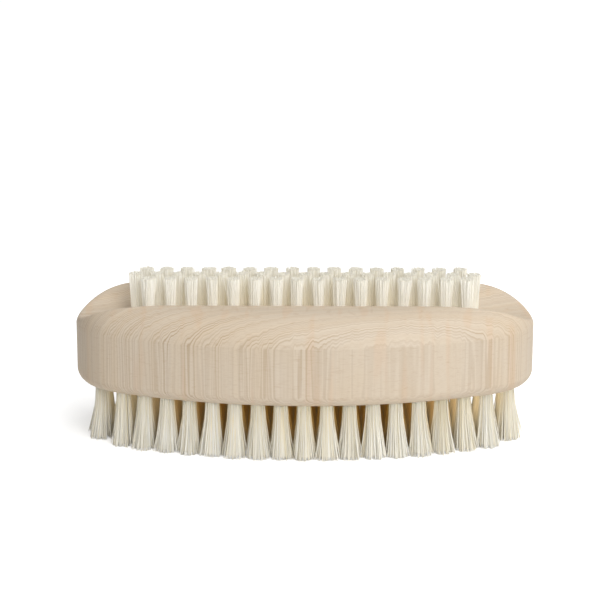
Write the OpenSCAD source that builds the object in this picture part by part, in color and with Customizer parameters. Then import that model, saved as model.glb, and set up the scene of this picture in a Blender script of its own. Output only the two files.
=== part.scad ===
// A two-sided nail brush: an oval beech block with a wide bed of long bristles
// below and a narrow strip of short bristles in the groove along its top.
// X runs along the block and Y across it. The lower bristles' shorn tips stand
// on the plane z = 0.

/* [Wooden block] */
// Length of the block from tip to tip
block_length = 95; // [80:1:120]
// Width of the block across its middle
block_width = 42; // [38:1:50]
// Radius of the block's round ends, seen from above
end_radius = 14; // [12:0.5:17]
// Thickness of the block from its underside to its top
block_thickness = 18.5; // [18:0.5:26]
// Width of the crowned edge round the top
crown_width = 7; // [5.5:0.5:8]
// Height of the crowned edge round the top
crown_height = 6; // [5.4:0.1:6]
// Radius of the rounded edge round the underside
lower_round = 2.6; // [2:0.2:2.8]

/* [Groove in the top] */
// Radius of the groove's round floor
groove_radius = 11; // [9:0.5:16]
// Depth of the groove at its middle
groove_depth = 5.2; // [3:0.2:5.2]

/* [Lower bristles] */
// Free length of the lower bristles below the block
lower_length = 12; // [8:0.5:20]
// Number of tuft rows that lie side by side along the block
lower_rows = 19; // [11:2:21]
// Spacing aimed at between the tufts of a row
lower_spacing = 4.9; // [4.4:0.1:7]
// Distance from the block's outline to the centres of the outermost tufts
lower_margin = 4.7; // [4.7:0.1:8]
// Distance from each tip of the block to the middle of the row nearest to it
end_margin = 5.5; // [5.5:0.1:8]
// Diameter of the lower tufts' holes
lower_bore = 2.6; // [2:0.1:2.8]
// Depth of the lower tufts' holes
lower_bore_depth = 6; // [5:0.2:6]

/* [Upper bristles] */
// Free length of the upper bristles' middle row
upper_length = 9.3; // [7:0.1:14]
// Number of tufts in the middle row
upper_tufts = 17; // [9:1:17]
// Spacing of the tufts along a row
upper_spacing = 4.36; // [4:0.02:4.4]
// Distance between neighbouring rows
upper_row_step = 3.7; // [3.2:0.1:4.2]
// Diameter of the upper tufts' holes
upper_bore = 2; // [1.6:0.1:2.2]
// Depth of the upper tufts' holes below the groove's middle
upper_bore_depth = 5.5; // [4.4:0.1:5.5]

/* [Tuft anchors] */
// Thickness of the flat wire that anchors a tuft
anchor_thickness = 0.4; // [0.3:0.05:0.6]
// Height of an anchor along its hole
anchor_height = 1.5; // [1:0.1:2]
// Depth to which each end of an anchor bites into the wood
anchor_bite = 0.3; // [0.2:0.05:0.4]
// Thickness of the folded bristles between an anchor and its hole's end
anchor_fold = 0.6; // [0.4:0.1:1]

/* [Hidden] */
// Thickness of the slice of backing that carries each row's strands
slice = 0.8;
// Width of backing between a tuft and the side of its slice
slice_rim = 0.4;
// Clearance round slices and tuft roots
root_clearance = 0.05;
// Depth shorn off the strands so that their tips end flat
tip_trim = 0.5;
// Overrun of cuts past the faces that they open
overrun = 1;

// Strands that stand for the bristles of one tuft, and the sides of each
strands = 3;
strand_sides = 4;
// Turn from one tuft's strands to the next one's
strand_turn = 57;
// Distance of a strand's axis from its tuft's axis at the root and at the untrimmed
// tip, then the strand's own radius at both, all as shares of the hole's diameter
root_offset_share = 0.27;
tip_offset_share = 0.46;
root_radius_share = 0.21;
tip_radius_share = 0.33;
// Outward lean of the lower tufts, as a share of their distance from the middle
lean_share = 0.015;
// Shift of the upper front, middle and rear rows along the block, as shares of the spacing
row_shift_shares = [0.14, 0, -0.09];

wood = "#dcc19c";
bristle = "#ece5cd";
metal = "#b9b9b4";

end_centre = block_length / 2 - end_radius;
side_radius = (pow(end_centre, 2) + pow(block_width / 2, 2) - pow(end_radius, 2))
    / (block_width - 2 * end_radius);
side_centre = side_radius - block_width / 2;
side_angle = atan(end_centre / side_centre);
crown_radius = (pow(crown_width, 2) + pow(crown_height, 2)) / (2 * crown_height);

underside = lower_length;
top = underside + block_thickness;
groove_floor = top - groove_depth;
groove_axis = groove_floor + groove_radius;
brush_top = groove_floor + upper_length;
lower_bore_end = underside + lower_bore_depth;
upper_bore_end = groove_floor - upper_bore_depth;

middle_row = (lower_rows - 1) / 2;
row_pitch = (block_length / 2 - end_margin) / middle_row;
upper_names = ["upper_row_front", "upper_row_middle", "upper_row_rear"];
lower_names = [for (row = [1 : lower_rows]) str("lower_row_", row < 10 ? "0" : "", row)];

$fn = 48;
// Facets of a full circle round an end, and round a circle as wide as a long side
end_facets = 56;
side_facets = 90;

// Half the width of the block's outline, drawn in by an inset, at a place along the block
function half_width(x, inset) =
    let (seam = end_centre * (side_radius - inset) / (side_radius - end_radius))
    abs(x) > seam
        ? sqrt(max(0, pow(end_radius - inset, 2) - pow(abs(x) - end_centre, 2)))
        : sqrt(pow(side_radius - inset, 2) - x * x) - side_centre;

// Height of the groove's floor at a distance from its middle line
function groove_height(y) = groove_axis - sqrt(pow(groove_radius, 2) - y * y);

// Places of the tufts in one lower row, which runs across the block. A row shorter
// than a hole is wide holds one tuft.
function row_x(row) = (row - 1 - middle_row) * row_pitch;
function row_reach(row) =
    let (reach = half_width(row_x(row), lower_margin))
    reach > lower_bore ? reach : 0;
function row_gaps(row) = round(2 * row_reach(row) / lower_spacing);
function lower_places(row) =
    row_gaps(row) == 0
        ? [[row_x(row), 0]]
        : [for (i = [0 : row_gaps(row)]) [row_x(row), row_reach(row) * (2 * i / row_gaps(row) - 1)]];

// Places of the tufts in one upper row, which runs along the block: 0 front, 1 middle, 2 rear
function upper_count(row) = row == 1 ? upper_tufts : upper_tufts - 1;
function upper_y(row) = (row - 1) * upper_row_step;
function upper_places(row) =
    [for (i = [0 : upper_count(row) - 1])
        [(i - (upper_count(row) - 1) / 2 + row_shift_shares[row]) * upper_spacing, upper_y(row)]];

// The two roundings of the rim of a round block of one radius: the crowned upper edge
// and the rounded lower one
module rim_section(radius) {
    intersection() {
        translate([radius - crown_width, top - crown_radius]) circle(crown_radius, $fn = 40);
        translate([radius - crown_width, top - crown_height]) square([crown_width, crown_height]);
    }
    translate([radius - lower_round, underside + lower_round]) circle(lower_round, $fn = 20);
}

// One round end of the block's rim
module block_end() {
    translate([end_centre, 0, 0])
        rotate([0, 0, side_angle - 90])
            rotate_extrude(angle = 180 - 2 * side_angle, $fn = end_facets) rim_section(end_radius);
}

// One long side of the block's rim
module block_side() {
    translate([0, -side_centre, 0])
        rotate([0, 0, 90 - side_angle])
            rotate_extrude(angle = 2 * side_angle, $fn = side_facets) rim_section(side_radius);
}

// The whole block before it is grooved and drilled: it bulges all round, so stretching
// a skin over the four parts of its rim gives its full shape
module block_shape() {
    hull() {
        block_end();
        block_side();
        mirror([1, 0, 0]) block_end();
        mirror([0, 1, 0]) block_side();
    }
}

// A round bar along the block, on the groove's axis
module groove_bar(radius) {
    translate([0, 0, groove_axis])
        rotate([0, 90, 0])
            cylinder(r = radius, h = block_length + 2 * overrun, center = true, $fn = 96);
}

// The slice of backing under one lower row, with round ends, as high as asked for
module lower_slice(row, clearance, height) {
    side = lower_bore / 2 + slice_rim - clearance;
    translate([row_x(row), 0, underside + slice - height]) linear_extrude(height) {
        if (row_reach(row) > 0) square([2 * side, 2 * row_reach(row)], center = true);
        for (end = [-1, 1]) translate([0, end * row_reach(row)]) circle(side);
    }
}

// The slice of backing under one upper row: its top is the groove's own floor
module upper_slice(row, clearance, hollow) {
    side = upper_bore / 2 + slice_rim - clearance;
    first = upper_places(row)[0][0] - side;
    last = upper_places(row)[upper_count(row) - 1][0] + side;
    difference() {
        intersection() {
            translate([first, upper_y(row) - side, upper_bore_end])
                cube([last - first, 2 * side, groove_axis - upper_bore_end]);
            groove_bar(groove_radius + slice);
        }
        if (hollow) groove_bar(groove_radius);
    }
}

// One flat anchor across its hole, whose end is at the height given; up is 1 where
// the hole is drilled upwards and -1 where it is drilled downwards
module anchor(place, bore, bore_end, up, clearance) {
    middle = bore_end - up * (anchor_fold + anchor_height / 2);
    translate([place[0], place[1], middle])
        cube([bore + 2 * anchor_bite, anchor_thickness + 2 * clearance, anchor_height + 2 * clearance],
             center = true);
}

// One tuft's folded root, from its slice to the end of its hole
module tuft_root(place, bore, bore_end, up, from) {
    difference() {
        translate([place[0], place[1], up > 0 ? from : bore_end])
            cylinder(d = bore - 2 * root_clearance, h = abs(bore_end - from), $fn = 24);
        anchor(place, bore, bore_end, up, root_clearance);
    }
}

// Corners of a strand's section
function strand_ring(centre, radius, z, turn) =
    [for (i = [0 : strand_sides - 1])
        let (angle = turn + 360 * i / strand_sides)
        [centre[0] + radius * cos(angle), centre[1] + radius * sin(angle), z]];

// One strand between two sections, closed with triangles
module strand(low, high) {
    n = strand_sides;
    polyhedron(
        points = concat(low, high),
        faces = concat(
            [for (i = [1 : n - 2]) [0, i, i + 1]],
            [for (i = [1 : n - 2]) [n, n + i + 1, n + i]],
            [for (i = [0 : n - 1]) [i, n + i, (i + 1) % n]],
            [for (i = [0 : n - 1]) [(i + 1) % n, n + i, n + (i + 1) % n]]));
}

// The strands of one tuft, from inside its slice to their flat shorn tips
module tuft_strands(place, bore, from, to, lean, turn) {
    kept_share = abs(to - from) / (abs(to - from) + tip_trim);
    offset_share = root_offset_share + kept_share * (tip_offset_share - root_offset_share);
    radius_share = root_radius_share + kept_share * (tip_radius_share - root_radius_share);
    for (i = [0 : strands - 1]) {
        angle = turn + 360 * i / strands;
        way = [cos(angle), sin(angle)];
        root = strand_ring(place + way * bore * root_offset_share, bore * root_radius_share, from, angle);
        tip = strand_ring(place * (1 + lean) + way * bore * offset_share, bore * radius_share, to, angle);
        if (to > from) strand(root, tip);
        else strand(tip, root);
    }
}

module wooden_block() {
    color(wood) difference() {
        block_shape();
        groove_bar(groove_radius);
        for (row = [1 : lower_rows]) {
            lower_slice(row, 0, slice + overrun);
            for (place = lower_places(row)) {
                translate([place[0], place[1], underside])
                    cylinder(d = lower_bore, h = lower_bore_depth, $fn = 24);
                anchor(place, lower_bore, lower_bore_end, 1, 0);
            }
        }
        for (row = [0 : 2]) {
            upper_slice(row, 0, false);
            for (place = upper_places(row)) {
                translate([place[0], place[1], upper_bore_end])
                    cylinder(d = upper_bore, h = upper_bore_depth, $fn = 24);
                anchor(place, upper_bore, upper_bore_end, -1, 0);
            }
        }
    }
}

module lower_row(row) {
    from = underside + slice / 2;
    color(bristle) {
        lower_slice(row, root_clearance, slice);
        for (i = [0 : len(lower_places(row)) - 1]) {
            place = lower_places(row)[i];
            tuft_root(place, lower_bore, lower_bore_end, 1, from);
            tuft_strands(place, lower_bore, from, 0, lean_share, strand_turn * (row + i));
        }
    }
}

module upper_row(row) {
    from = groove_height(upper_y(row)) - slice / 2;
    color(bristle) {
        upper_slice(row, root_clearance, true);
        for (i = [0 : upper_count(row) - 1]) {
            place = upper_places(row)[i];
            tuft_root(place, upper_bore, upper_bore_end, -1, from);
            tuft_strands(place, upper_bore, from, brush_top, 0, strand_turn * (row + i));
        }
    }
}

module lower_anchors() {
    color(metal) for (row = [1 : lower_rows], place = lower_places(row))
        anchor(place, lower_bore, lower_bore_end, 1, 0);
}

module upper_anchors() {
    color(metal) for (row = [0 : 2], place = upper_places(row))
        anchor(place, upper_bore, upper_bore_end, -1, 0);
}

wooden_block();
for (row = [1 : lower_rows]) {
    lower_row(row);
}
for (row = [0 : 2]) {
    upper_row(row);
}
lower_anchors();
upper_anchors();
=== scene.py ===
"""Looks of a two-sided nail brush: an oval beech block, grooved along its top, with tufts of
natural bristle below and above. Lengths are in metres, +Z is up, and the brush stands on its
lower bristles at z = 0."""

import math

import bmesh
import bpy
import numpy as np
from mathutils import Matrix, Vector


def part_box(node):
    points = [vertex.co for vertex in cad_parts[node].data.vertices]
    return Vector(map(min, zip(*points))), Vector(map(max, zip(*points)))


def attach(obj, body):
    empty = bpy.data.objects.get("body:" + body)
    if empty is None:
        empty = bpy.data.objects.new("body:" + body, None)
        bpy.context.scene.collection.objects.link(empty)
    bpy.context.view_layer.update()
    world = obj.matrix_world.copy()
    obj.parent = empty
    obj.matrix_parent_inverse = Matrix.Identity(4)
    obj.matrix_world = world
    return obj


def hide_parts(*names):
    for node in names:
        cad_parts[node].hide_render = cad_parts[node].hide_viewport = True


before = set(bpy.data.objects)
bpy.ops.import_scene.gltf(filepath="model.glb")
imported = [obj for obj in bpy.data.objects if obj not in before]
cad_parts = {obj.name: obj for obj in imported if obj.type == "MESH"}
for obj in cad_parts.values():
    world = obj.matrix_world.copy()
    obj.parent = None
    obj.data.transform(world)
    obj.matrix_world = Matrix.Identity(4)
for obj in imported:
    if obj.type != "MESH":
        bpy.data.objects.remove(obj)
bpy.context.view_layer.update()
BLOCK_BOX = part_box("wooden_block")

bl_info = {
    "name": "Nail Brush",
    "version": (1, 0, 0),
    "blender": (4, 5, 0),
    "location": "View3D > Sidebar > Nail Brush",
    "description": "A beech nail brush with bristle on both sides, and a white studio for it",
    "category": "Add Mesh",
}

MM = 0.001

# The block's mesh: how many corners its curves have, and how its pieces are joined
END_CORNERS = 52
SIDE_CORNERS = 68
ROUND_CORNERS = 10
TOP_LINES = 180
DRILL_SIDES = 20
CREASE_HOLD = 0.5 * MM
WELD = 0.01 * MM
DRILL_OVERRUN = 6 * MM
SMOOTH_ANGLE = math.radians(30)
FLAT_WEIGHT = 80

# Rows of tufts, and how far the upper ones are shifted, in steps along the groove
LOWER_ROWS = 19
UPPER_ROWS = ("front", "middle", "rear")
UPPER_SHIFTS = (0.14, 0.0, -0.09)
LOWER_SEED = 100
UPPER_SEED = 200

# Where a bristle and a core can bend, as shares of their lengths. A core leaves its hole at
# its first cut
BRISTLE_SIDES = 3
BRISTLE_CUTS = (0.33, 0.67)
CORE_SIDES = 16
CORE_CUTS = (0.1, 0.4, 0.7)

# A tuft in its hole: how deep it goes, how much of the width it fills, and how many of its
# bristles stand round its outside, how far out
ROOT_SHARE = 0.4
HOLE_FILL = 0.94
SKIN_SHARE = 0.6
SKIN_REACH = (0.82, 1.0)

# A tuft outside its hole: the power of its flaring outline, its wisps and its stray bristles
FLARE = 1.4
LEAN_OUT = 0.015
WIDER_INSIDE = 0.2
WISPS = 5
WISP_REACH = 0.07
STRAY_SHARE = 0.05
STRAY_AT_ENDS = 0.15
STRAY_SPREAD = (1.0, 1.4)

# Widths of a core at its hole and at its tips, and how much shorter it is than its bristles
CORE_AT_HOLE = 0.9
CORE_AT_TIPS = 0.84
CORE_SHORT = 0.05

# How much bristles differ by chance. Each scatter is one standard deviation
REACH_SCATTER = 0.04
TURN_SCATTER = 0.12
SPREAD_SCATTER = 0.07
TIP_SCATTER = 0.03
END_SCATTER = 0.1 * MM
LEAN_SCATTER = 0.1 * MM
BOW_SCATTER = 0.08 * MM
TONE_SCATTER = 0.06
TONE_SHAPE = (1.6, 3.0)
CORE_TONE = 0.4
THICKNESS_RANGE = (0.8, 1.2)
TAPER = 0.75

# How thick the bed's lighter outside is, outside the painted shade, where its ends begin along
# the block, for stray bristles and for the light that comes in, painted as less shade and more
# glow, and how much the middle upper row is shut in, which sets its painted shade
BED_SKIN = 3 * MM
LOOSE_FROM = 28 * MM
LOOSE_TO = 40 * MM
END_FROM = 16 * MM
END_TO = 38 * MM
UPPER_SHUT_IN = 0.12

# Strength of the painted glow that stands for the light bristles pass on to one another:
# anywhere, deep in the bed, near its ends, and what its right end has on top
LONG_GLOW = 0.003
SHORT_GLOW = 0.055
DEEP_GLOW = 0.02
END_GLOW = 0.07
RIGHT_GLOW = 0.1

# The wood's growth lines, and how far its layers lean for each millimetre along the block
RINGS_PER_MM = 3
LAYER_LEAN = -0.2

# What the lamps face
LAMP_AIM = Vector((0.0, 0.0, 20 * MM))


# Sizes and colours

def length(name, description, default):
    """A length that a user may change, in metres."""
    return bpy.props.FloatProperty(
        name=name, description=description, default=default, min=0.0, precision=4, unit="LENGTH"
    )


def colour(name, description, default):
    """A colour that a user may change, as an sRGB hex value."""
    return bpy.props.StringProperty(name=name, description=description, default=default)


class NailBrushBlock(bpy.types.PropertyGroup):
    """Sizes and colours of the wooden block."""

    length: length("Length", "Length of the block from end to end", BLOCK_BOX[1].x - BLOCK_BOX[0].x)
    width: length("Width", "Width of the block at its middle", BLOCK_BOX[1].y - BLOCK_BOX[0].y)
    end_radius: length("End radius", "Radius of the round ends, seen from above", 14 * MM)
    underside: length("Underside", "Height of the flat underside", BLOCK_BOX[0].z)
    top: length("Top", "Height of the flat land along the groove", 30.5 * MM)
    crown_width: length("Crown width", "How far the crowned upper edge reaches in", 7 * MM)
    crown_height: length("Crown height", "Height of the crowned upper edge", 6 * MM)
    lower_round: length("Lower rounding", "Radius of the rounded lower edge", 2.6 * MM)
    groove_radius: length("Groove radius", "Radius of the groove along the top", 11 * MM)
    groove_depth: length("Groove depth", "Depth of the groove at its middle", 5.2 * MM)
    edge_softness: length("Edge softness", "Height over which crown and groove blend", 1.8 * MM)
    pale: colour("Pale wood", "Beech between its growth lines", "#D0C3B1")
    warm: colour("Warm wood", "Beech in its broader, warmer layers", "#CFBB9F")
    line: colour("Growth lines", "Thin dark lines of the late wood", "#A98F70")
    streak: colour("Streaks", "Faint orange streaks up the sides", "#D0A67E")
    fleck: colour("Flecks", "Short brown rays that beech is known by", "#AC8A66")


class NailBrushBristle(bpy.types.PropertyGroup):
    """Sizes and colours of the bristles."""

    lower_margin: length("Lower margin", "From the block's outline to the outer lower tufts", 4.7 * MM)
    end_margin: length("End margin", "From each tip of the block to its nearest lower row", 5.5 * MM)
    lower_spacing: length("Lower spacing", "From tuft to tuft across the block", 4.9 * MM)
    lower_hole: length("Lower holes", "Diameter of the holes of the lower tufts", 2.6 * MM)
    lower_depth: length("Lower hole depth", "Depth of the holes of the lower tufts", 6 * MM)
    lower_tip: length("Lower tip width", "Width of a lower tuft at its tips", 4.3 * MM)
    upper_spacing: length("Upper spacing", "From tuft to tuft along the groove", 4.36 * MM)
    upper_step: length("Upper row step", "From row to row across the groove", 3.7 * MM)
    upper_hole: length("Upper holes", "Diameter of the holes of the upper tufts", 2 * MM)
    upper_depth: length("Upper hole depth", "Depth of the holes of the upper tufts", 5.5 * MM)
    upper_tip: length("Upper tip width", "Width of an upper tuft at its tips", 2.45 * MM)
    upper_length: length("Upper length", "Upper bristles, from the groove's floor", 9.3 * MM)
    lower_thickness: length("Long bristles", "Thickness of one of them at its root", 0.2 * MM)
    upper_thickness: length("Short bristles", "Thickness of one of them at its root", 0.27 * MM)
    upper_tufts: bpy.props.IntProperty(
        name="Upper tufts", description="Tufts in the middle upper row", default=17, min=2
    )
    lower_count: bpy.props.IntProperty(
        name="Bristles below", description="Bristles in each lower tuft", default=190, min=3
    )
    upper_count: bpy.props.IntProperty(
        name="Bristles above", description="Bristles in each upper tuft", default=110, min=3
    )
    pale: colour("Pale bristle", "The lightest bristles", "#FFFFFD")
    long_tan: colour("Tan long bristle", "The darkest long bristles", "#F5E8C4")
    short_tan: colour("Tan short bristle", "The darkest short bristles", "#FCFAF5")
    # Painted shade: this amber stands for the shade deep in the bed, not for the bristles' own colour,
    # and it also tints the painted glow there
    amber: colour("Amber bristle", "Roots of the bristles inside the bed", "#FFE38A")
    # Painted shade: the grey of the cut ends stands for light that goes into the ends
    cut_end_shade: colour("Cut ends", "The shorn ends of the bristles", "#C0BFBA")
    passing: colour("Light between bristles", "What light turns to among them", "#FFF7E6")
    through: colour("Light through bristle", "What light turns to inside a bristle", "#FFFCF0")


class NailBrushStage(bpy.types.PropertyGroup):
    """The camera and the white studio."""

    distance: length("Camera distance", "From the camera to the brush", 0.5)
    aim_height: length("Aim height", "Height of the point that the camera circles", 20 * MM)
    azimuth: bpy.props.FloatProperty(
        name="Azimuth", description="How far the camera stands round to the right",
        default=math.radians(0.7), subtype="ANGLE"
    )
    elevation: bpy.props.FloatProperty(
        name="Elevation", description="How far the camera looks down",
        default=math.radians(17.43), subtype="ANGLE"
    )
    raise_aim: bpy.props.FloatProperty(
        name="Raise", description="How far the camera aims above the brush's middle",
        default=math.radians(0.964), subtype="ANGLE"
    )
    turn_aim: bpy.props.FloatProperty(
        name="Turn", description="How far the camera aims to the left of the brush's middle",
        default=math.radians(0.118), subtype="ANGLE"
    )
    lens: bpy.props.FloatProperty(
        name="Lens", description="Focal length in millimetres, on a 36 mm sensor",
        default=143.9, min=10.0
    )
    paper: colour("Floor", "Matt white paper under the brush", "#F4F4F4")


# Small helpers for modelling

def deselect_everything():
    """Leaves nothing selected, so that an operator acts on the new piece alone."""
    if bpy.context.mode != "OBJECT":
        bpy.ops.object.mode_set(mode="OBJECT")
    bpy.ops.object.select_all(action="DESELECT")


def make_active(piece):
    """Selects one piece alone."""
    deselect_everything()
    piece.select_set(True)
    bpy.context.view_layer.objects.active = piece


def named(name):
    """Names the object that was added last, and returns it."""
    piece = bpy.context.active_object
    piece.name = name
    piece.data.name = name
    return piece


def apply_modifier(piece, kind, **settings):
    """Adds a modifier with these settings and applies it."""
    make_active(piece)
    modifier = piece.modifiers.new(kind.title(), kind)
    for setting, value in settings.items():
        setattr(modifier, setting, value)
    bpy.ops.object.modifier_apply(modifier=modifier.name)


def finish_piece(piece, material, slot, *nodes):
    """Gives a finished piece its material, its body and the CAD nodes that it stands for."""
    piece.data.materials.clear()
    piece.data.materials.append(material)
    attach(piece, "root")
    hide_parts(*nodes)


# Places on the block

def side_circle(block):
    """Radius of the circle that a long side is part of, its centre's distance from the middle
    line, and half the angle that the side covers."""
    centre = block.length / 2 - block.end_radius
    radius = (centre ** 2 + (block.width / 2) ** 2 - block.end_radius ** 2) / (
        block.width - 2 * block.end_radius
    )
    offset = radius - block.width / 2
    return radius, offset, math.atan2(centre, offset)


def half_width(block, x, inset):
    """Half the width of the block's outline, drawn in by an inset, at a place along it."""
    radius, offset, angle = side_circle(block)
    centre = block.length / 2 - block.end_radius
    seam = (radius - inset) * math.sin(angle)
    if abs(x) > seam:
        return math.sqrt(max(0.0, (block.end_radius - inset) ** 2 - (abs(x) - centre) ** 2))
    return math.sqrt((radius - inset) ** 2 - x * x) - offset


def outline(block, inset):
    """Corners of the block's outline, drawn in by an inset, anticlockwise from the right."""
    radius, offset, angle = side_circle(block)
    centre = block.length / 2 - block.end_radius
    corners = []
    arcs = (
        (centre, 0.0, block.end_radius, -math.pi / 2 + angle, math.pi / 2 - angle, END_CORNERS),
        (0.0, -offset, radius, math.pi / 2 - angle, math.pi / 2 + angle, SIDE_CORNERS),
        (-centre, 0.0, block.end_radius, math.pi / 2 + angle, math.pi * 1.5 - angle, END_CORNERS),
        (0.0, offset, radius, math.pi * 1.5 - angle, math.pi * 1.5 + angle, SIDE_CORNERS),
    )
    for x, y, arc_radius, first, last, steps in arcs:
        for step in range(steps):
            turn = first + (last - first) * step / steps
            corners.append(
                (
                    x + (arc_radius - inset) * math.cos(turn),
                    y + (arc_radius - inset) * math.sin(turn),
                )
            )
    return corners


def rim_profile(block):
    """Insets and heights up the block's rim, from the underside to the foot of its crown."""
    profile = []
    for step in range(1, ROUND_CORNERS + 1):
        turn = math.pi / 2 * step / ROUND_CORNERS
        profile.append(
            (
                block.lower_round * (1 - math.sin(turn)),
                block.underside + block.lower_round * (1 - math.cos(turn)),
            )
        )
    crease = block.top - block.crown_height
    profile.append((0.0, (block.underside + block.lower_round + crease) / 2))
    profile.append((0.0, crease - CREASE_HOLD))
    profile.append((0.0, crease))
    return profile


def inset_of(block, x, y):
    """How far a place lies in from the block's outline."""
    radius, offset, angle = side_circle(block)
    beyond = abs(x) - (block.length / 2 - block.end_radius)
    if beyond * math.cos(angle) > abs(y) * math.sin(angle):
        return block.end_radius - math.hypot(beyond, y)
    return radius - math.hypot(x, abs(y) + offset)


def top_height(block, x, y):
    """Height of the block's top: its crown or its groove, whichever is lower, and a soft edge
    where the two meet."""
    crown_radius = (block.crown_width ** 2 + block.crown_height ** 2) / (2 * block.crown_height)
    reach = min(max(block.crown_width - inset_of(block, x, y), 0.0), block.crown_width)
    crown = block.top - crown_radius + math.sqrt(crown_radius ** 2 - reach ** 2)
    if abs(y) >= block.groove_radius:
        return crown
    groove = groove_floor(block) + block.groove_radius - math.sqrt(block.groove_radius ** 2 - y * y)
    blend = block.edge_softness - abs(crown - groove)
    if blend <= 0:
        return min(crown, groove)
    return min(crown, groove) - blend ** 2 / (4 * block.edge_softness)


def row_place(block, bristle, row):
    """Place along the block of a lower row, numbered from 1 at the left."""
    middle = (LOWER_ROWS - 1) / 2
    return (row - 1 - middle) * (block.length / 2 - bristle.end_margin) / middle


def lower_places(block, bristle, row):
    """Places of the tufts in one lower row, which runs across the block."""
    x = row_place(block, bristle, row)
    reach = half_width(block, x, bristle.lower_margin)
    if reach <= bristle.lower_hole:
        return [(x, 0.0)]
    gaps = round(2 * reach / bristle.lower_spacing)
    return [(x, reach * (2 * i / gaps - 1)) for i in range(gaps + 1)]


def upper_places(bristle, row):
    """Places of the tufts in one upper row, which runs along the block: 0 front to 2 rear."""
    count = bristle.upper_tufts - (0 if row == 1 else 1)
    middle = (count - 1) / 2 - UPPER_SHIFTS[row]
    return [
        ((i - middle) * bristle.upper_spacing, (row - 1) * bristle.upper_step)
        for i in range(count)
    ]


def depth_inside_lower(block, bristle, x, y):
    """How far a place is inside the bed of lower bristles: 0 round its outside, 1 where it is
    shut in on all sides."""
    depth = inset_of(block, x, y) - bristle.lower_margin + bristle.lower_hole / 4
    return min(max(depth / BED_SKIN, 0.0), 1.0)


def depth_inside_upper(bristle, y):
    """How far a place is inside the upper bristles, on the same scale: little, and most in the
    middle row."""
    half = bristle.upper_step + bristle.upper_hole / 2
    return UPPER_SHUT_IN * max(1 - (y / half) ** 2, 0.0)


def groove_floor(block):
    """Height of the groove's floor at its middle."""
    return block.top - block.groove_depth


# Materials

def linear(hex_colour):
    """An sRGB hex value as the linear colour that a shader takes."""
    shares = [int(hex_colour.lstrip("#")[i:i + 2], 16) / 255 for i in (0, 2, 4)]
    curved = [s / 12.92 if s <= 0.04045 else ((s + 0.055) / 1.055) ** 2.4 for s in shares]
    return (*curved, 1.0)


def add_node(tree, kind, settings=None, inputs=None):
    """Adds one node. An input's value is a number, a colour, or the output socket it comes from."""
    node = tree.nodes.new(kind)
    for name, value in (settings or {}).items():
        setattr(node, name, value)
    for name, value in (inputs or {}).items():
        if isinstance(value, bpy.types.NodeSocket):
            tree.links.new(value, node.inputs[name])
        else:
            node.inputs[name].default_value = value
    return node


def new_material(name):
    """An empty node material, with its tree and output node."""
    material = bpy.data.materials.new(name)
    material.use_nodes = True
    tree = material.node_tree
    tree.nodes.clear()
    return material, tree, add_node(tree, "ShaderNodeOutputMaterial")


def ramp(tree, value, low, high):
    """A value stretched so that low becomes 0 and high becomes 1, with soft ends."""
    return add_node(
        tree, "ShaderNodeMapRange", {"interpolation_type": "SMOOTHSTEP"},
        {"Value": value, "From Min": low, "From Max": high}
    ).outputs["Result"]


def mixed(tree, factor, first, second):
    """Two colours mixed by a factor."""
    node = add_node(
        tree, "ShaderNodeMix", {"data_type": "RGBA"}, {0: factor, 6: first, 7: second}
    )
    return node.outputs[2]


def calculated(tree, operation, first, second):
    """One operation on two values. A sine or an absolute value takes only the first."""
    return add_node(
        tree, "ShaderNodeMath", {"operation": operation}, {0: first, 1: second}
    ).outputs[0]


def times(tree, first, second):
    """Two values multiplied."""
    return calculated(tree, "MULTIPLY", first, second)


def plus(tree, first, second):
    """Two values added."""
    return calculated(tree, "ADD", first, second)


def in_millimetres(tree):
    """The place on the object, in millimetres."""
    place = add_node(tree, "ShaderNodeTexCoord").outputs["Object"]
    return add_node(
        tree, "ShaderNodeMapping", None, {"Vector": place, "Scale": (1000.0, 1000.0, 1000.0)}
    ).outputs[0]


def stretched_noise(tree, place, scale, detail=2.0, roughness=0.5):
    """Noise at a place in millimetres. Its spots are as long along X, Y and Z as one over each
    scale."""
    stretched = add_node(tree, "ShaderNodeMapping", None, {"Vector": place, "Scale": scale})
    return add_node(
        tree, "ShaderNodeTexNoise", None,
        {"Vector": stretched.outputs[0], "Scale": 1.0, "Detail": detail, "Roughness": roughness}
    ).outputs["Fac"]


def layered_noise(tree, depth, per_mm, detail, seed):
    """Noise that changes only with depth through the growth layers."""
    return add_node(
        tree, "ShaderNodeTexNoise", {"noise_dimensions": "1D"},
        {"W": plus(tree, depth, seed), "Scale": per_mm, "Detail": detail}
    ).outputs["Fac"]


def growth_depth(tree, millimetres, axes):
    """How deep a place lies in the wood's growth layers, in millimetres. The layers stand on
    edge and lean a little along the block. They wave by up to 0.3 mm over 10 to 20 mm, and
    ripple by up to 0.4 mm along 1.2 mm."""
    wave = stretched_noise(tree, millimetres, (0.09, 0.05, 0.012), detail=1.0)
    ripple = stretched_noise(tree, millimetres, (0.85, 0.15, 0.03), detail=1.0)
    leaning = plus(tree, axes.outputs["Y"], times(tree, axes.outputs["X"], LAYER_LEAN))
    return plus(tree, leaning, plus(tree, times(tree, wave, 0.6), times(tree, ripple, 0.85)))


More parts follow.
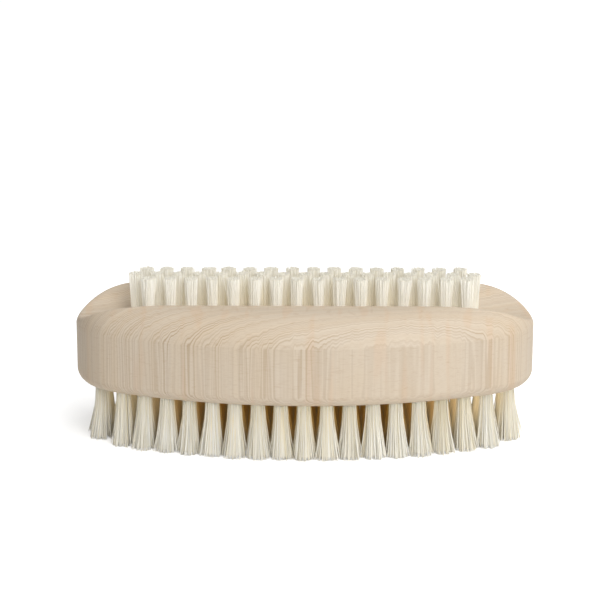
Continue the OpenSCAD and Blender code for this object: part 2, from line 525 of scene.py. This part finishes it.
def growth_lines(tree, axes, depth):
    """Where the dark growth lines run. They stand unevenly, each of its own strength. They are
    plainer in the right half of the block, and show most on the crown, whose height is given
    here in millimetres."""
    uneven = times(tree, layered_noise(tree, depth, per_mm=0.6, detail=1.0, seed=40.0), 0.6)
    turns = times(tree, plus(tree, depth, uneven), 2 * math.pi * RINGS_PER_MM)
    rings = ramp(tree, calculated(tree, "SINE", turns, 0.0), 0.0, 1.0)
    strength = ramp(
        tree, layered_noise(tree, depth, per_mm=0.9, detail=1.0, seed=70.0), 0.25, 0.7
    )
    plainness = times(tree, ramp(tree, axes.outputs["X"], -18, 12), 0.3)
    over_edge = ramp(tree, axes.outputs["Z"], 23.5, 25.5)
    under_lip = ramp(tree, axes.outputs["Z"], 30.3, 29.0)
    on_crown = times(tree, times(tree, over_edge, under_lip), 0.35)
    figure = plus(tree, calculated(tree, "SUBTRACT", 1.0, plainness), on_crown)
    return times(tree, times(tree, rings, strength), figure)


def sanded_beech(block):
    """Unvarnished beech, sanded smooth. Its growth layers stand on edge along the block, so they
    show as upright lines where its sides turn, as long ripples on its crown and as fine lines
    along its top. Short brown rays lie along the grain, and the surface is matt."""
    material, tree, output = new_material("sanded_beech")
    millimetres = in_millimetres(tree)
    axes = add_node(tree, "ShaderNodeSeparateXYZ", None, {0: millimetres})
    depth = growth_depth(tree, millimetres, axes)
    line_mask = growth_lines(tree, axes, depth)
    # Layers of a fifth of a millimetre inside the rings, and broader ones of 1 to 2 mm
    fine = layered_noise(tree, depth, per_mm=5.0, detail=1.0, seed=20.0)
    broad = layered_noise(tree, depth, per_mm=0.8, detail=2.0, seed=90.0)
    # Rays 1.4 mm long on the front and sides, a quarter of a millimetre thick
    rays = stretched_noise(tree, millimetres, (0.7, 0.22, 4.2), detail=1.0)
    # Fibres along the block, drawn up to 0.2 mm thick, which is coarser than they are
    fibres = stretched_noise(tree, millimetres, (0.35, 5.0, 6.5), detail=3.0, roughness=0.6)
    # Warm streaks 1 to 2 mm wide that run up the sides, and cloudy patches of 15 to 25 mm
    streaks = stretched_noise(tree, millimetres, (0.4, 0.12, 0.03), detail=1.0)
    clouds = stretched_noise(tree, millimetres, (0.04, 0.05, 0.07))
    # Each tint shows where its mask is 1, up to a share of its own
    wood = linear(block.pale)
    for mask, share, tint in (
        (ramp(tree, broad, 0.35, 0.7), 0.35, block.warm),
        (ramp(tree, clouds, 0.4, 0.7), 0.3, block.warm),
        (ramp(tree, streaks, 0.56, 0.7), 0.2, block.streak),
        (ramp(tree, fine, 0.4, 0.7), 0.2, block.line),
        (line_mask, 0.5, block.line),
        (ramp(tree, rays, 0.58, 0.74), 0.18, block.fleck),
        (ramp(tree, fibres, 0.45, 0.75), 0.16, block.line),
    ):
        wood = mixed(tree, times(tree, mask, share), wood, linear(tint))
    relief = calculated(tree, "SUBTRACT", times(tree, fibres, 0.6), times(tree, line_mask, 0.4))
    bump = add_node(
        tree, "ShaderNodeBump", None,
        {"Strength": 0.25, "Distance": 0.06 * MM, "Height": relief}
    )
    surface = add_node(
        tree, "ShaderNodeBsdfPrincipled", None,
        {
            "Base Color": wood,
            "Roughness": plus(tree, times(tree, line_mask, 0.08), 0.6),
            "IOR": 1.5,
            "Specular IOR Level": 0.3,
            "Normal": bump.outputs[0],
        }
    )
    tree.links.new(surface.outputs[0], output.inputs["Surface"])
    return material


def natural_bristle(bristle, name, tan, passed_on):
    """Bleached natural bristle: keratin, like hair, each bristle of its own tone, with a soft
    sheen along it. It is cream at the tips, greyer on their cut ends and a little more tan
    towards the root, both of which are painted shade. Inside the bed it is amber, painted
    shade, because light comes there only through other bristles. A weak painted glow stands
    for the light that bristles pass on to one another, most of which is lost among so many
    thin shapes. More of it comes in at the ends of the bed, and most at the right, on the main
    lamp's side."""
    material, tree, output = new_material(name)
    tone, along, inside = (
        add_node(tree, "ShaderNodeAttribute", {"attribute_name": attribute}).outputs["Fac"]
        for attribute in ("tone", "along", "inside")
    )
    place = add_node(tree, "ShaderNodeTexCoord").outputs["Object"]
    axes = add_node(tree, "ShaderNodeSeparateXYZ", None, {"Vector": place})
    from_middle = calculated(tree, "ABSOLUTE", axes.outputs["X"], 0.0)
    near_end = ramp(tree, from_middle, END_FROM, END_TO)
    from_right = ramp(tree, axes.outputs["X"], -30 * MM, 30 * MM)
    # How much of the light is shut out, which is painted as shade:
    # little at the tips, most at the roots, less near the ends
    shut_in = times(
        tree, inside, calculated(tree, "SUBTRACT", 0.95, times(tree, near_end, 0.78))
    )
    deep = times(tree, shut_in, ramp(tree, along, 1.2, 0.3))
    # Each bristle's own tone, plus painted shade that makes it a little more tan towards the root
    tone_and_root_shade = plus(tree, times(tree, tone, 0.75), times(tree, ramp(tree, along, 0.8, 0.0), 0.25))
    cream = mixed(tree, tone_and_root_shade, linear(bristle.pale), linear(tan))
    # Painted shade: amber deep in the bed, where light comes only through other bristles
    amber_shaded = mixed(tree, deep, cream, linear(bristle.amber))
    # Painted shade: the last few hundredths of each bristle are greyed, for light that goes into the
    # cut ends
    cut = times(tree, ramp(tree, along, 0.96, 1.0), 0.4)
    tint = mixed(tree, cut, amber_shaded, linear(bristle.cut_end_shade))
    end_light = times(
        tree, times(tree, near_end, inside),
        times(
            tree, ramp(tree, along, 1.0, 0.2),
            plus(tree, times(tree, from_right, RIGHT_GLOW), END_GLOW)
        )
    )
    # Painted glow: emission that stands for light passed among bristles, more deep in the bed, near
    # its ends and at the right
    passed = plus(tree, times(tree, deep, DEEP_GLOW), plus(tree, end_light, passed_on))
    amber_glow = times(tree, deep, calculated(tree, "SUBTRACT", 1.0, near_end))
    surface = add_node(
        tree, "ShaderNodeBsdfPrincipled", None,
        {
            "Base Color": tint,
            "Emission Color": mixed(
                tree, amber_glow, linear(bristle.passing), linear(bristle.amber)
            ),
            "Emission Strength": passed,
            "Roughness": 0.42,
            "IOR": 1.55,
            "Specular IOR Level": times(tree, ramp(tree, deep, 0.7, 0.0), 0.3),
        }
    )
    glow = add_node(
        tree, "ShaderNodeBsdfTranslucent", None,
        {"Color": mixed(tree, deep, linear(bristle.through), linear(bristle.amber))}
    )
    both = add_node(
        tree, "ShaderNodeMixShader", None,
        {0: 0.3, 1: surface.outputs[0], 2: glow.outputs[0]}
    )
    tree.links.new(both.outputs[0], output.inputs["Surface"])
    return material


def drawn_steel():
    """Drawn steel wire, flattened: a grey metal with fine draw marks along it."""
    material, tree, output = new_material("drawn_steel")
    # Draw marks 2 mm long and a tenth of a millimetre apart
    marks = stretched_noise(tree, in_millimetres(tree), (0.5, 10.0, 10.0))
    surface = add_node(
        tree, "ShaderNodeBsdfPrincipled", None,
        {
            "Base Color": mixed(tree, marks, linear("#B9B9B4"), linear("#9C9C98")),
            "Metallic": 1.0,
            "Roughness": plus(tree, times(tree, marks, 0.2), 0.3),
        }
    )
    tree.links.new(surface.outputs[0], output.inputs["Surface"])
    return material


def white_paper(stage):
    """Matt white paper. It is lit like the brush and keeps its shadow, and the camera sees
    it brighter, so that it meets the white behind it without an edge."""
    material, tree, output = new_material("white_paper")
    rays = add_node(tree, "ShaderNodeLightPath")
    seen = calculated(
        tree, "MAXIMUM", rays.outputs["Is Camera Ray"], rays.outputs["Is Glossy Ray"]
    )
    surface = add_node(
        tree, "ShaderNodeBsdfPrincipled", None,
        {
            "Base Color": linear(stage.paper),
            "Roughness": 0.9,
            "Specular IOR Level": 0.1,
            "Emission Color": (1.0, 1.0, 1.0, 1.0),
            "Emission Strength": times(tree, seen, 0.5),
        }
    )
    tree.links.new(surface.outputs[0], output.inputs["Surface"])
    return material


# The wooden block

def model_block(block):
    """The oval block: its rim, closed by the fine sheet that carries its crown and groove."""
    sheet = model_top(block)
    piece = model_rim(block)
    sheet.select_set(True)
    bpy.ops.object.join()
    bpy.ops.object.mode_set(mode="EDIT")
    bpy.ops.mesh.select_all(action="SELECT")
    bpy.ops.mesh.remove_doubles(threshold=WELD)
    bpy.ops.mesh.normals_make_consistent(inside=False)
    bpy.ops.object.mode_set(mode="OBJECT")
    return piece


def model_rim(block):
    """The block's underside and sides: a circle drawn out to the block's outline and raised
    ring by ring to the foot of the crown."""
    deselect_everything()
    corners = outline(block, block.lower_round)
    bpy.ops.mesh.primitive_circle_add(
        vertices=len(corners), radius=block.end_radius, fill_type="NGON",
        location=(0.0, 0.0, block.underside)
    )
    piece = named("beech_block")
    bpy.ops.object.transform_apply(location=True, rotation=True, scale=True)
    for vertex, (x, y) in zip(piece.data.vertices, corners):
        vertex.co = (x, y, block.underside)
    bpy.ops.object.mode_set(mode="EDIT")
    bpy.ops.mesh.select_mode(type="FACE")
    bpy.ops.mesh.select_all(action="SELECT")
    inset_before = block.lower_round
    height_before = block.underside
    for inset, height in rim_profile(block):
        bpy.ops.mesh.extrude_region_move(
            TRANSFORM_OT_translate={"value": (0.0, 0.0, height - height_before)}
        )
        mesh = bmesh.from_edit_mesh(piece.data)
        for vertex in (v for v in mesh.verts if v.select):
            vertex.co.xy += outward(block, vertex.co) * (inset_before - inset)
        bmesh.update_edit_mesh(piece.data)
        inset_before = inset
        height_before = height
    for vertex in (v for v in mesh.verts if v.select):
        vertex.co.z = top_height(block, vertex.co.x, vertex.co.y)
    bmesh.update_edit_mesh(piece.data)
    bpy.ops.mesh.delete(type="ONLY_FACE")
    bpy.ops.object.mode_set(mode="OBJECT")
    return piece


def outward(block, place):
    """Direction straight out of the block's outline at a place near its rim, seen from above."""
    _, offset, angle = side_circle(block)
    centre = block.length / 2 - block.end_radius
    along = math.copysign(1.0, place.x)
    across = math.copysign(1.0, place.y)
    if (abs(place.x) - centre) * math.cos(angle) > abs(place.y) * math.sin(angle):
        return Vector((place.x - along * centre, place.y)).normalized()
    return Vector((place.x, place.y + across * offset)).normalized()


def model_top(block):
    """The block's top: a grid with a line across the block at each corner of the outline, drawn
    out to the outline and raised to the crown and the groove."""
    deselect_everything()
    stations = sorted({round(x, 9) for x, y in outline(block, 0.0)})
    gaps = len(stations) - 1
    bpy.ops.mesh.primitive_grid_add(x_subdivisions=gaps, y_subdivisions=TOP_LINES, size=1.0)
    sheet = named("top_sheet")
    for vertex in sheet.data.vertices:
        x = stations[round((vertex.co.x + 0.5) * gaps)]
        y = math.sin(math.pi * vertex.co.y) * half_width(block, x, 0.0)
        vertex.co = (x, y, top_height(block, x, y))
    return sheet


def drill_holes(piece, places, low, high, width):
    """Drills a hole at each place, from one height to another."""
    deselect_everything()
    drills = []
    for x, y in places:
        bpy.ops.mesh.primitive_cylinder_add(
            vertices=DRILL_SIDES, radius=width / 2, depth=high - low,
            location=(x, y, (low + high) / 2)
        )
        drills.append(bpy.context.active_object)
    deselect_everything()
    for drill in drills:
        drill.select_set(True)
    bpy.context.view_layer.objects.active = drills[0]
    bpy.ops.object.join()
    cutter = named("hole_cutter")
    apply_modifier(piece, "BOOLEAN", operation="DIFFERENCE", solver="EXACT", object=cutter)
    bpy.data.objects.remove(cutter)


# The bristles

def model_stalk(sides, cuts):
    """A stalk of unit length and width, cut square at both ends, with rings of corners at the
    cuts, where it can bend. Returns its corners and its faces."""
    deselect_everything()
    bpy.ops.mesh.primitive_cylinder_add(
        vertices=sides, radius=0.5, depth=1.0, location=(0, 0, 0.5)
    )
    piece = named("one_stalk")
    bpy.ops.object.transform_apply(location=True, rotation=True, scale=True)
    bpy.ops.object.mode_set(mode="EDIT")
    for height in cuts:
        bpy.ops.mesh.select_all(action="SELECT")
        bpy.ops.mesh.bisect(plane_co=(0.0, 0.0, height), plane_no=(0.0, 0.0, 1.0))
    bpy.ops.object.mode_set(mode="OBJECT")
    corners = np.array([v.co for v in piece.data.vertices], float)
    faces = [list(p.vertices) for p in piece.data.polygons]
    bpy.data.objects.remove(piece)
    return corners, faces


def bend_stalks(corners, rings, widths, turns):
    """Copies of a stalk, one for each turn. Each ring of its corners goes to its own place and
    width along the copy's path."""
    heights = sorted(rings)
    copies = np.zeros((len(turns), len(corners), 3))
    for i, (x, y, z) in enumerate(corners):
        height = min(heights, key=lambda h: abs(h - z))
        width = widths[height]
        copies[:, i, 0] = rings[height][:, 0] + width * (x * np.cos(turns) - y * np.sin(turns))
        copies[:, i, 1] = rings[height][:, 1] + width * (x * np.sin(turns) + y * np.cos(turns))
        copies[:, i, 2] = rings[height][:, 2]
    return copies.reshape(-1, 3)


def tuft_paths(random, place, count, root_z, mouth_z, tip_z, hole, tip_width, lean):
    """Root, mouth and tip of every bristle in one tuft. They fill the hole like a packed
    bundle, most of them round its outside, and spread from its mouth to the shorn tips.
    They part into a few wisps, and a few bristles stray, more of them near the bed's ends."""
    index = np.arange(count)
    golden = math.pi * (3 - math.sqrt(5))
    turn = index * golden + random.uniform(0, 2 * math.pi)
    reach = np.sqrt((index + 0.5) / count)
    skin = random.random(count) < SKIN_SHARE
    reach = np.where(
        skin, random.uniform(*SKIN_REACH, count), reach + random.normal(0, REACH_SCATTER, count)
    )
    reach = np.clip(reach, 0, 1)
    turn = turn + random.normal(0, TURN_SCATTER, count)
    way = np.stack([np.cos(turn), np.sin(turn)], 1)
    mouth = np.array(place) + way * reach[:, None] * (hole / 2 * HOLE_FILL)
    wisp_turn = random.uniform(0, 2 * math.pi, WISPS)
    wisp_way = np.stack([np.cos(wisp_turn), np.sin(wisp_turn)], 1)
    wisp = wisp_way[random.integers(0, WISPS, count)] * tip_width * WISP_REACH
    spread = reach * (tip_width / 2) * (1 + random.normal(0, SPREAD_SCATTER, count))
    at_ends = min(max((abs(place[0]) - LOOSE_FROM) / (LOOSE_TO - LOOSE_FROM), 0.0), 1.0)
    stray = random.random(count) < STRAY_SHARE + STRAY_AT_ENDS * at_ends
    spread = np.where(stray, spread * random.uniform(*STRAY_SPREAD, count), spread)
    tip = np.array(place) + lean + way * spread[:, None] + wisp
    tip = tip + random.normal(0, tip_width * TIP_SCATTER, (count, 2))
    down = 1.0 if tip_z < mouth_z else -1.0
    ends = tip_z + down * np.abs(random.normal(0, END_SCATTER, count))
    root = np.concatenate([mouth, np.full((count, 1), root_z)], 1)
    opening = np.concatenate([mouth, np.full((count, 1), mouth_z)], 1)
    shorn = np.concatenate([tip, ends[:, None]], 1)
    return root, opening, shorn


def bristle_rings(root, opening, shorn, bow):
    """Places along each bristle: straight out of its hole, then away ever faster, with a slight
    bow of its own."""
    rings = {0.0: root}
    for share in (*BRISTLE_CUTS, 1.0):
        flared = share ** FLARE
        straight = opening + (shorn - opening) * np.array((flared, flared, share))
        rings[share] = straight + bow * math.sin(math.pi * share)
    return rings


def core_rings(place, lean, root_z, mouth_z, tip_z, hole, tip_width):
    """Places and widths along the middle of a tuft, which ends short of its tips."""
    end_z = tip_z + (mouth_z - tip_z) * CORE_SHORT
    least = hole * CORE_AT_HOLE
    most = tip_width * CORE_AT_TIPS
    rings = {0.0: np.array([[*place, root_z]])}
    widths = {0.0: least}
    for share in (*CORE_CUTS, 1.0):
        along = (share - CORE_CUTS[0]) / (1 - CORE_CUTS[0])
        centre = np.array(place) + lean * along
        rings[share] = np.array([[*centre, mouth_z + (end_z - mouth_z) * along]])
        widths[share] = least + (most - least) * along ** FLARE
    return rings, widths


class RowMesh:
    """The stalks of one row, gathered before they become one piece. Each corner keeps its
    stalk's own tone, how far along the stalk it is and how far inside the bed the stalk starts."""

    def __init__(self, hanging):
        self.hanging = hanging
        self.corners = []
        self.faces = []
        self.values = {"tone": [], "along": [], "inside": []}

    def add(self, copies, template, template_faces, tone, inside):
        """Adds copies of a template, one after another. Stalks that hang are turned over, so
        that their faces still look out."""
        first = sum(len(group) for group in self.corners)
        count = len(copies) // len(template)
        for copy in range(count):
            start = first + copy * len(template)
            for face in template_faces:
                order = face[::-1] if self.hanging else face
                self.faces.append([start + corner for corner in order])
        self.corners.append(copies)
        self.values["tone"].append(np.repeat(tone, len(template)))
        self.values["along"].append(np.tile(template[:, 2], count))
        self.values["inside"].append(np.repeat(inside, len(template)))

    def piece(self, name):
        """Makes one piece of them all."""
        mesh = bpy.data.meshes.new(name)
        mesh.from_pydata(np.concatenate(self.corners).tolist(), [], self.faces)
        for attribute, values in self.values.items():
            layer = mesh.attributes.new(attribute, "FLOAT", "POINT")
            layer.data.foreach_set("value", np.concatenate(values).astype(np.float32))
        mesh.update()
        piece = bpy.data.objects.new(name, mesh)
        bpy.context.scene.collection.objects.link(piece)
        return piece


def plant_row(
    name, tufts, depth_inside, root_z, tip_z, hole, least_tip, thickness, count, seed
):
    """One row of tufts as one piece. The one bristle is copied for every place, round a core
    that stands for the packed bristles inside each tuft. Tufts inside the bed spread wider."""
    random = np.random.default_rng(seed)
    bristle_corners, bristle_faces = model_stalk(BRISTLE_SIDES, BRISTLE_CUTS)
    core_corners, core_faces = model_stalk(CORE_SIDES, CORE_CUTS)
    row = RowMesh(hanging=tip_z < root_z(tufts[0][2]))
    for x, y, mouth_z, lean in tufts:
        lean = np.array(lean) + random.normal(0, LEAN_SCATTER, 2)
        tip_width = least_tip * (1 + WIDER_INSIDE * depth_inside(x, y))
        root, opening, shorn = tuft_paths(
            random, (x, y), count, root_z(mouth_z), mouth_z, tip_z, hole, tip_width, lean
        )
        bow = np.zeros((count, 3))
        bow[:, :2] = random.normal(0, BOW_SCATTER, (count, 2))
        thick = thickness * random.uniform(*THICKNESS_RANGE, count)
        widths = dict.fromkeys((0.0, *BRISTLE_CUTS), thick)
        widths[1.0] = thick * TAPER
        tone = random.beta(*TONE_SHAPE, count) + random.normal(0, TONE_SCATTER)
        turns = random.uniform(0, 2 * math.pi, count)
        row.add(
            bend_stalks(bristle_corners, bristle_rings(root, opening, shorn, bow), widths, turns),
            bristle_corners, bristle_faces, np.clip(tone, 0, 1),
            [depth_inside(*place[:2]) for place in root]
        )
        rings, core_widths = core_rings(
            (x, y), lean, root_z(mouth_z), mouth_z, tip_z, hole, tip_width
        )
        row.add(
            bend_stalks(core_corners, rings, core_widths, np.zeros(1)),
            core_corners, core_faces, [CORE_TONE], [depth_inside(x, y)]
        )
    return row.piece(name)


# Operators

class NAILBRUSH_OT_block(bpy.types.Operator):
    """Model the oval beech block with its groove and its holes"""

    bl_idname = "nail_brush.block"
    bl_label = "Wooden Block"

    def execute(self, context):
        block = context.scene.nail_brush_block
        bristle = context.scene.nail_brush_bristle
        piece = model_block(block)
        for row in range(1, LOWER_ROWS + 1):
            drill_holes(
                piece, lower_places(block, bristle, row), block.underside - DRILL_OVERRUN,
                block.underside + bristle.lower_depth, bristle.lower_hole
            )
        for row in range(len(UPPER_ROWS)):
            drill_holes(
                piece, upper_places(bristle, row), groove_floor(block) - bristle.upper_depth,
                block.top + DRILL_OVERRUN, bristle.upper_hole
            )
        make_active(piece)
        bpy.ops.object.shade_smooth_by_angle(angle=SMOOTH_ANGLE)
        apply_modifier(piece, "WEIGHTED_NORMAL", keep_sharp=True, weight=FLAT_WEIGHT)
        finish_piece(piece, sanded_beech(block), "beech", "wooden_block")
        return {"FINISHED"}


class NAILBRUSH_OT_lower_bristles(bpy.types.Operator):
    """Plant the long tufts that the brush stands on"""

    bl_idname = "nail_brush.lower_bristles"
    bl_label = "Lower Bristles"

    def execute(self, context):
        block = context.scene.nail_brush_block
        bristle = context.scene.nail_brush_bristle
        material = natural_bristle(
            bristle, "long_natural_bristle", bristle.long_tan, LONG_GLOW
        )
        for row in range(1, LOWER_ROWS + 1):
            tufts = [
                (x, y, block.underside, (x * LEAN_OUT, y * LEAN_OUT))
                for x, y in lower_places(block, bristle, row)
            ]
            piece = plant_row(
                f"lower_bristles_{row:02d}", tufts,
                lambda x, y: depth_inside_lower(block, bristle, x, y),
                lambda mouth: mouth + bristle.lower_depth * ROOT_SHARE, 0.0,
                bristle.lower_hole, bristle.lower_tip, bristle.lower_thickness,
                bristle.lower_count, LOWER_SEED + row
            )
            finish_piece(piece, material, "bristle", f"lower_row_{row:02d}")
        return {"FINISHED"}


class NAILBRUSH_OT_upper_bristles(bpy.types.Operator):
    """Plant the short tufts that stand in the groove"""

    bl_idname = "nail_brush.upper_bristles"
    bl_label = "Upper Bristles"

    def execute(self, context):
        block = context.scene.nail_brush_block
        bristle = context.scene.nail_brush_bristle
        material = natural_bristle(
            bristle, "short_natural_bristle", bristle.short_tan, SHORT_GLOW
        )
        axis_height = groove_floor(block) + block.groove_radius
        for row, name in enumerate(UPPER_ROWS):
            places = upper_places(bristle, row)
            mouth = axis_height - math.sqrt(block.groove_radius ** 2 - places[0][1] ** 2)
            tufts = [(x, y, mouth, (0.0, 0.0)) for x, y in places]
            piece = plant_row(
                f"upper_bristles_{name}", tufts,
                lambda x, y: depth_inside_upper(bristle, y),
                lambda mouth: mouth - bristle.upper_depth * ROOT_SHARE,
                groove_floor(block) + bristle.upper_length, bristle.upper_hole,
                bristle.upper_tip, bristle.upper_thickness, bristle.upper_count,
                UPPER_SEED + row
            )
            finish_piece(piece, material, "bristle", f"upper_row_{name}")
        return {"FINISHED"}


class NAILBRUSH_OT_anchors(bpy.types.Operator):
    """Give the anchor wires in the holes their steel"""

    bl_idname = "nail_brush.anchors"
    bl_label = "Anchor Wires"

    def execute(self, context):
        material = drawn_steel()
        for name in ("lower_anchors", "upper_anchors"):
            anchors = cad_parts[name]
            anchors.data.materials.clear()
            anchors.data.materials.append(material)
        return {"FINISHED"}


class NAILBRUSH_OT_stage(bpy.types.Operator):
    """Set up the camera, the white paper and the soft studio light"""

    bl_idname = "nail_brush.stage"
    bl_label = "Stage"

    def execute(self, context):
        stage = context.scene.nail_brush_stage
        add_camera(stage)
        add_floor(stage)
        add_lights()
        return {"FINISHED"}


# The stage

def add_camera(stage):
    """The camera looks a little down on the brush's long side, from half a metre away."""
    back = stage.distance * math.cos(stage.elevation)
    location = (
        back * math.sin(stage.azimuth),
        -back * math.cos(stage.azimuth),
        stage.aim_height + stage.distance * math.sin(stage.elevation),
    )
    tilt = math.pi / 2 - stage.elevation + stage.raise_aim
    deselect_everything()
    bpy.ops.object.camera_add(
        location=location, rotation=(tilt, 0.0, stage.azimuth + stage.turn_aim)
    )
    camera = bpy.context.active_object
    camera.name = "camera"
    camera.data.lens = stage.lens
    camera.data.sensor_width = 36.0
    camera.data.clip_start = 0.01
    bpy.context.scene.camera = camera


def add_floor(stage):
    """A wide sheet of white paper under the brush."""
    deselect_everything()
    bpy.ops.mesh.primitive_plane_add(size=6.0, location=(0.0, 0.0, 0.0))
    floor = named("paper_floor")
    floor.data.materials.append(white_paper(stage))


def add_lamp(name, location, size, watts):
    """A soft white square lamp that faces the brush."""
    deselect_everything()
    aim = LAMP_AIM - Vector(location)
    bpy.ops.object.light_add(
        type="AREA", location=location, rotation=aim.to_track_quat("-Z", "Y").to_euler()
    )
    lamp = bpy.context.active_object
    lamp.name = name
    lamp.data.size = size
    lamp.data.energy = watts


def add_lights():
    """A large soft lamp at the upper right, a weak one at the front, and white all round."""
    add_lamp("lamp_right", (0.42, -0.26, 1.03), size=1.0, watts=8.9)
    add_lamp("lamp_front", (0.35, -0.88, 0.45), size=0.5, watts=4.8)
    world = bpy.data.worlds.new("white_studio")
    bpy.context.scene.world = world
    world.use_nodes = True
    tree = world.node_tree
    tree.nodes.clear()
    rays = add_node(tree, "ShaderNodeLightPath")
    seen = calculated(
        tree, "MAXIMUM", rays.outputs["Is Camera Ray"],
        calculated(
            tree, "MAXIMUM", rays.outputs["Is Glossy Ray"], rays.outputs["Is Transmission Ray"]
        )
    )
    strength = add_node(
        tree, "ShaderNodeMapRange", None, {"Value": seen, "To Min": 0.26, "To Max": 1.0}
    )
    background = add_node(
        tree, "ShaderNodeBackground", None,
        {"Color": (1.0, 1.0, 1.0, 1.0), "Strength": strength.outputs["Result"]}
    )
    output = add_node(tree, "ShaderNodeOutputWorld")
    tree.links.new(background.outputs[0], output.inputs["Surface"])
    bpy.context.scene.view_settings.view_transform = "Standard"


# The panel

class NAILBRUSH_PT_panel(bpy.types.Panel):
    """Lists the sizes, the colours and the pieces"""

    bl_idname = "NAILBRUSH_PT_panel"
    bl_label = "Nail Brush"
    bl_space_type = "VIEW_3D"
    bl_region_type = "UI"
    bl_category = "Nail Brush"

    def draw(self, context):
        for group in ("nail_brush_block", "nail_brush_bristle", "nail_brush_stage"):
            settings = getattr(context.scene, group)
            box = self.layout.box()
            for name in settings.bl_rna.properties.keys():
                if name not in ("rna_type", "name"):
                    box.prop(settings, name)
        for operator in OPERATORS:
            self.layout.operator(operator.bl_idname)


OPERATORS = (
    NAILBRUSH_OT_block,
    NAILBRUSH_OT_lower_bristles,
    NAILBRUSH_OT_upper_bristles,
    NAILBRUSH_OT_anchors,
    NAILBRUSH_OT_stage,
)
CLASSES = (NailBrushBlock, NailBrushBristle, NailBrushStage, *OPERATORS, NAILBRUSH_PT_panel)


def register():
    for cls in CLASSES:
        bpy.utils.register_class(cls)
    scene = bpy.types.Scene
    scene.nail_brush_block = bpy.props.PointerProperty(type=NailBrushBlock)
    scene.nail_brush_bristle = bpy.props.PointerProperty(type=NailBrushBristle)
    scene.nail_brush_stage = bpy.props.PointerProperty(type=NailBrushStage)


def unregister():
    del bpy.types.Scene.nail_brush_block
    del bpy.types.Scene.nail_brush_bristle
    del bpy.types.Scene.nail_brush_stage
    for cls in reversed(CLASSES):
        bpy.utils.unregister_class(cls)


def main():
    """Makes every piece and the stage."""
    register()
    bpy.ops.nail_brush.block()
    bpy.ops.nail_brush.lower_bristles()
    bpy.ops.nail_brush.upper_bristles()
    bpy.ops.nail_brush.anchors()
    bpy.ops.nail_brush.stage()


if __name__ == "__main__":
    main()
